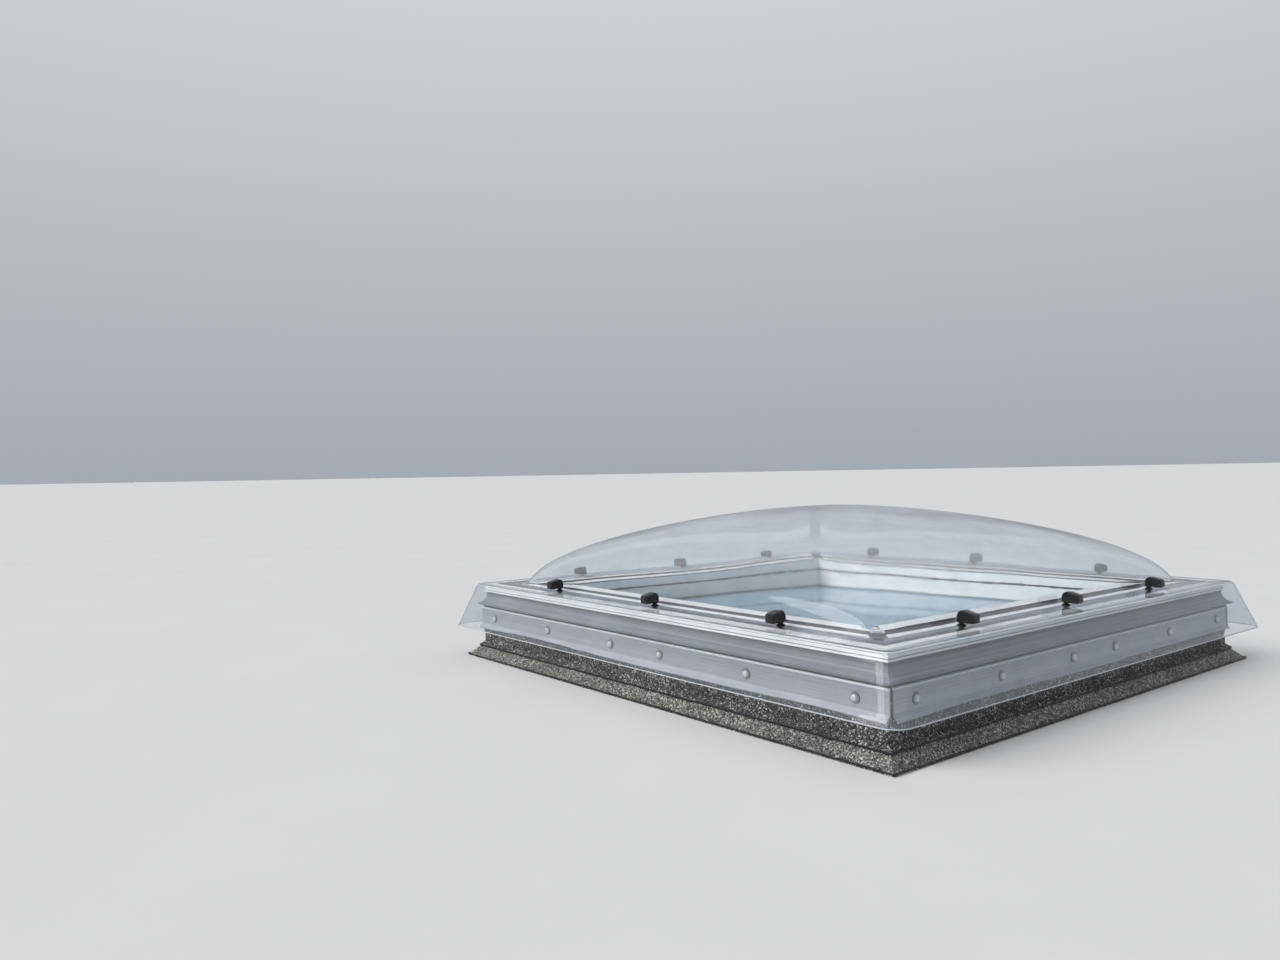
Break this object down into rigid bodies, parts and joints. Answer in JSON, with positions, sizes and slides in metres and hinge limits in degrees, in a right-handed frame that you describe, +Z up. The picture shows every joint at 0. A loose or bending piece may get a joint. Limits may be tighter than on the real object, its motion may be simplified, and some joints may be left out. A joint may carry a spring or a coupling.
{
  "type": "roof skylight",
  "caption": "Fixed square skylight for a flat roof: a clear blown dome with a flared skirt, held by turn knobs on a ribbed frame over a felted, insulated kerb.",
  "frame": {"origin": "middle of the kerb's base, on the roof deck", "axes": "+Z up out of the roof, -Y towards the front side, +X towards the right side"},
  "size_m": [1.32, 1.32, 0.3562],
  "materials": {
    "timber": "sawn softwood",
    "white_paint": "white satin paint on board",
    "insulation": "rigid foam",
    "cant_board": "fibre board",
    "roof_felt": "bitumen felt with mineral granules",
    "frame_metal": "satin grey aluminium",
    "rail_metal": "matt mill aluminium",
    "key_metal": "cast",
    "spacer_metal": "bright",
    "steel": "stainless",
    "steel_washer": "stainless, rubber backed",
    "seal_rubber": "matt",
    "white_plastic": "white rigid plastic, satin",
    "pane_glass": "clear",
    "clear_sheet": "clear, glossy",
    "knob_plastic": "black moulded plastic"
  },
  "bodies": {
    "root": {"cant_strips": "cant_board", "clamping_rail_back": "rail_metal", "clamping_rail_front": "rail_metal", "clamping_rail_left": "rail_metal", "clamping_rail_right": "rail_metal", "corner_keys": "key_metal", "dome_cover": "clear_sheet", "dome_gasket": "seal_rubber", "edge_trim_back": "white_plastic", "edge_trim_front": "white_plastic", "edge_trim_left": "white_plastic", "edge_trim_right": "white_plastic", "felt_lower": "roof_felt", "felt_upper_back": "roof_felt", "felt_upper_front": "roof_felt", "felt_upper_left": "roof_felt", "felt_upper_right": "roof_felt", "frame_bar_back": "frame_metal", "frame_bar_front": "frame_metal", "frame_bar_left": "frame_metal", "frame_bar_right": "frame_metal", "frame_screws": "steel", "glazing_bead_back": "white_plastic", "glazing_bead_front": "white_plastic", "glazing_bead_left": "white_plastic", "glazing_bead_right": "white_plastic", "kerb_board_back": "timber", "kerb_board_front": "timber", "kerb_board_left": "timber", "kerb_board_right": "timber", "kerb_insulation": "insulation", "knob_grommets": "seal_rubber", "knob_studs": "steel", "lining_board_back": "white_paint", "lining_board_front": "white_paint", "lining_board_left": "white_paint", "lining_board_right": "white_paint", "pane_edge_seal": "seal_rubber", "pane_gaskets": "seal_rubber", "pane_inner": "pane_glass", "pane_outer": "pane_glass", "pane_spacer": "spacer_metal", "rail_screws": "steel", "rail_washers": "steel_washer", "rest_strips": "white_plastic", "reveal_frame": "white_plastic", "seam_gasket": "seal_rubber"},
    "knob_front_1": {"knob_front_1": "knob_plastic"},
    "knob_front_2": {"knob_front_2": "knob_plastic"},
    "knob_front_3": {"knob_front_3": "knob_plastic"},
    "knob_right_1": {"knob_right_1": "knob_plastic"},
    "knob_right_2": {"knob_right_2": "knob_plastic"},
    "knob_right_3": {"knob_right_3": "knob_plastic"},
    "knob_back_1": {"knob_back_1": "knob_plastic"},
    "knob_back_2": {"knob_back_2": "knob_plastic"},
    "knob_back_3": {"knob_back_3": "knob_plastic"},
    "knob_left_1": {"knob_left_1": "knob_plastic"},
    "knob_left_2": {"knob_left_2": "knob_plastic"},
    "knob_left_3": {"knob_left_3": "knob_plastic"}
  },
  "joints": [
    {"name": "turn_front_1", "type": "hinge", "parent": "root", "child": "knob_front_1", "pos_m": [0.342, -0.554, 0.1765], "axis": [0, 0, 1], "range_deg": [0, 90]},
    {"name": "turn_front_2", "type": "hinge", "parent": "root", "child": "knob_front_2", "pos_m": [0, -0.554, 0.1765], "axis": [0, 0, 1], "range_deg": [0, 90]},
    {"name": "turn_front_3", "type": "hinge", "parent": "root", "child": "knob_front_3", "pos_m": [-0.342, -0.554, 0.1765], "axis": [0, 0, 1], "range_deg": [0, 90]},
    {"name": "turn_right_1", "type": "hinge", "parent": "root", "child": "knob_right_1", "pos_m": [0.554, 0.342, 0.1765], "axis": [0, 0, 1], "range_deg": [0, 90]},
    {"name": "turn_right_2", "type": "hinge", "parent": "root", "child": "knob_right_2", "pos_m": [0.554, 0, 0.1765], "axis": [0, 0, 1], "range_deg": [0, 90]},
    {"name": "turn_right_3", "type": "hinge", "parent": "root", "child": "knob_right_3", "pos_m": [0.554, -0.342, 0.1765], "axis": [0, 0, 1], "range_deg": [0, 90]},
    {"name": "turn_back_1", "type": "hinge", "parent": "root", "child": "knob_back_1", "pos_m": [-0.342, 0.554, 0.1765], "axis": [0, 0, 1], "range_deg": [0, 90]},
    {"name": "turn_back_2", "type": "hinge", "parent": "root", "child": "knob_back_2", "pos_m": [0, 0.554, 0.1765], "axis": [0, 0, 1], "range_deg": [0, 90]},
    {"name": "turn_back_3", "type": "hinge", "parent": "root", "child": "knob_back_3", "pos_m": [0.342, 0.554, 0.1765], "axis": [0, 0, 1], "range_deg": [0, 90]},
    {"name": "turn_left_1", "type": "hinge", "parent": "root", "child": "knob_left_1", "pos_m": [-0.554, -0.342, 0.1765], "axis": [0, 0, 1], "range_deg": [0, 90]},
    {"name": "turn_left_2", "type": "hinge", "parent": "root", "child": "knob_left_2", "pos_m": [-0.554, 0, 0.1765], "axis": [0, 0, 1], "range_deg": [0, 90]},
    {"name": "turn_left_3", "type": "hinge", "parent": "root", "child": "knob_left_3", "pos_m": [-0.554, 0.342, 0.1765], "axis": [0, 0, 1], "range_deg": [0, 90]}
  ]
}
